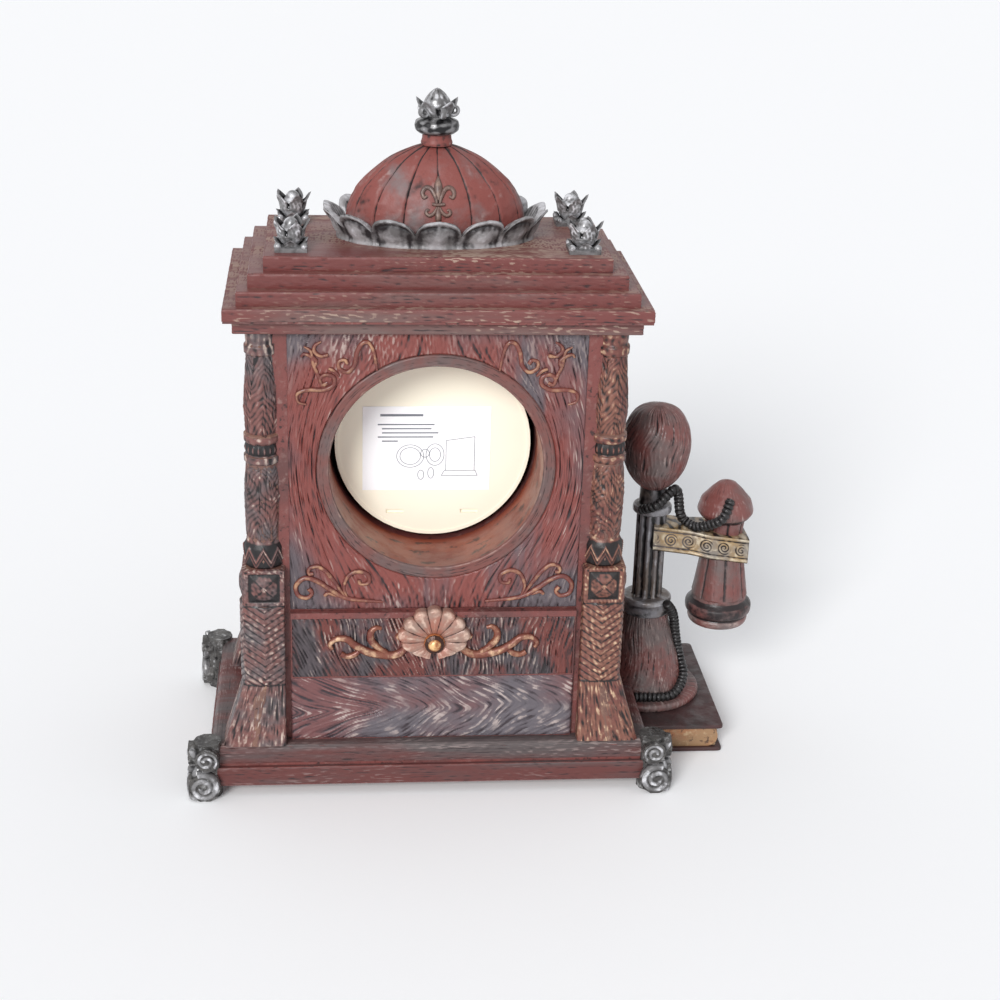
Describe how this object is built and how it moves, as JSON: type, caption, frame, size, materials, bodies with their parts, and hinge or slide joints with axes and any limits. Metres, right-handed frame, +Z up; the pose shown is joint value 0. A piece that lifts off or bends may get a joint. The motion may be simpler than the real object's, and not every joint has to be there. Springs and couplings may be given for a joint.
{
  "type": "mantel clock",
  "caption": "Domed mantel clock in cast resin with corner columns, a telephone on a book at its side, and a battery clock insert that slides out of its front.",
  "frame": {"origin": "under the middle of the whole object, on the surface that it stands on", "axes": "+Z up; +Y to the rear, away from the dial; +X to the right as the dial is seen"},
  "size_m": [0.2398, 0.112, 0.2782],
  "materials": {
    "mahogany_resin": "cast resin painted mahogany red with dark antiquing and dry-brushed edges",
    "plinth_resin": "cast resin, brushed red-brown and grey with wood grain",
    "column_resin": "cast resin, tan and red with dark leaf carving",
    "pewter_resin": "cast resin painted dark pewter",
    "dome_resin": "cast resin, red gores with dark grooves",
    "silver_resin": "cast resin painted antique silver",
    "gilt_resin": "cast resin painted worn copper gilt",
    "knob_brass": "satin brass",
    "book_board": "cast resin painted maroon leather",
    "book_page": "cast resin painted tan with fine page lines",
    "phone_resin": "cast resin, red-brown with engraved grain",
    "stem_resin": "cast resin painted dark silver",
    "cord_resin": "cast resin painted black, ribbed",
    "bezel_brass": "polished brass-coloured ring",
    "lens_glass": "clear mineral glass",
    "drum_plastic": "moulded black plastic",
    "grip_rubber": "soft black rubber",
    "dial_card": "printed cream card",
    "hand_metal": "black painted aluminium",
    "cover_cream": "smooth cream moulded plastic",
    "label_paper": "matt white paper",
    "movement_plastic": "moulded black plastic",
    "gear_plastic": "natural white acetal",
    "brass": "turned brass",
    "cell_steel": "plain wrapped steel cell",
    "contact_steel": "sprung nickel-plated steel",
    "board_green": "green circuit laminate",
    "coil_copper": "enamelled copper winding",
    "stator_steel": "laminated soft iron",
    "magnet": "sintered magnet with a plastic pinion"
  },
  "bodies": {
    "case": {"case_shell": "mahogany_resin", "base_plinth": "plinth_resin", "cornice": "mahogany_resin", "roof_steps": "mahogany_resin", "drawer_panel_rear": "mahogany_resin", "drawer_panel_front": "mahogany_resin", "shell_rear": "gilt_resin", "shell_front": "gilt_resin", "shell_knobs": "knob_brass", "lotus_finials": "silver_resin", "petal_gallery": "pewter_resin", "dome": "dome_resin", "dome_finial": "silver_resin", "book_cover": "book_board", "book_pages": "book_page", "telephone_base": "phone_resin", "telephone_stem": "stem_resin", "transmitter_shell": "phone_resin", "mouthpiece": "stem_resin", "receiver_arm": "gilt_resin", "receiver": "phone_resin", "lower_cord": "cord_resin", "upper_cord": "cord_resin", "foot_front_left": "silver_resin", "foot_front_right": "silver_resin", "foot_rear_left": "silver_resin", "foot_rear_right": "silver_resin", "column_front_left": "column_resin", "column_front_right": "column_resin", "column_rear_left": "column_resin", "column_rear_right": "column_resin"},
    "clock_insert": {"bezel": "bezel_brass", "lens": "lens_glass", "drum": "drum_plastic", "rubber_ring": "grip_rubber", "dial": "dial_card", "dial_nut": "brass", "movement_tray": "movement_plastic", "movement_lid": "movement_plastic", "battery": "cell_steel", "battery_contacts": "contact_steel", "circuit_board": "board_green", "coil": "coil_copper", "stator": "stator_steel"},
    "cover": {"rear_cover": "cover_cream", "battery_label": "label_paper"},
    "minute_work": {"minute_hand": "hand_metal", "cannon_pinion": "brass"},
    "hour_work": {"hour_hand": "hand_metal", "hour_wheel": "gear_plastic"},
    "motion_work": {"motion_wheel": "gear_plastic", "setting_knob": "movement_plastic"},
    "second_work": {"second_hand": "hand_metal", "second_wheel": "gear_plastic"},
    "third_work": {"third_wheel": "gear_plastic"},
    "centre_work": {"centre_wheel": "gear_plastic"},
    "reduction_work": {"reduction_wheel": "gear_plastic"},
    "rotor_work": {"rotor": "magnet"}
  },
  "joints": [
    {"name": "insert_slide", "type": "slide", "parent": "case", "child": "clock_insert", "axis": [0, -1, 0], "range_m": [0, 0.055]},
    {"name": "cover_slide", "type": "slide", "parent": "clock_insert", "child": "cover", "axis": [0, 1, 0], "range_m": [0, 0.04]},
    {"name": "knob_turn", "type": "hinge", "parent": "clock_insert", "child": "motion_work", "pos_m": [0.01285, -0.013, 0.13915], "axis": [0, 1, 0], "continuous": true},
    {"name": "minute_turn", "type": "hinge", "parent": "clock_insert", "child": "minute_work", "pos_m": [0.02185, -0.013, 0.13915], "axis": [0, 1, 0], "continuous": true},
    {"name": "hour_turn", "type": "hinge", "parent": "clock_insert", "child": "hour_work", "pos_m": [0.02185, -0.013, 0.13915], "axis": [0, 1, 0], "continuous": true},
    {"name": "rotor_turn", "type": "hinge", "parent": "clock_insert", "child": "rotor_work", "pos_m": [0.0133, -0.013, 0.15135], "axis": [0, 1, 0], "continuous": true},
    {"name": "reduction_turn", "type": "hinge", "parent": "clock_insert", "child": "reduction_work", "pos_m": [0.01703, -0.013, 0.14603], "axis": [0, 1, 0], "continuous": true},
    {"name": "second_turn", "type": "hinge", "parent": "clock_insert", "child": "second_work", "pos_m": [0.02185, -0.013, 0.13915], "axis": [0, 1, 0], "continuous": true},
    {"name": "third_turn", "type": "hinge", "parent": "clock_insert", "child": "third_work", "pos_m": [0.02719, -0.013, 0.14551], "axis": [0, 1, 0], "continuous": true},
    {"name": "centre_turn", "type": "hinge", "parent": "clock_insert", "child": "centre_work", "pos_m": [0.02185, -0.013, 0.13915], "axis": [0, 1, 0], "continuous": true}
  ],
  "couplings": [
    {"joint": "knob_turn", "follows": "minute_turn", "ratio": -0.33333},
    {"joint": "hour_turn", "follows": "minute_turn", "ratio": 0.083333},
    {"joint": "reduction_turn", "follows": "rotor_turn", "ratio": -0.2},
    {"joint": "second_turn", "follows": "rotor_turn", "ratio": 0.033333},
    {"joint": "third_turn", "follows": "rotor_turn", "ratio": -0.0044444},
    {"joint": "centre_turn", "follows": "rotor_turn", "ratio": 0.00055556}
  ]
}
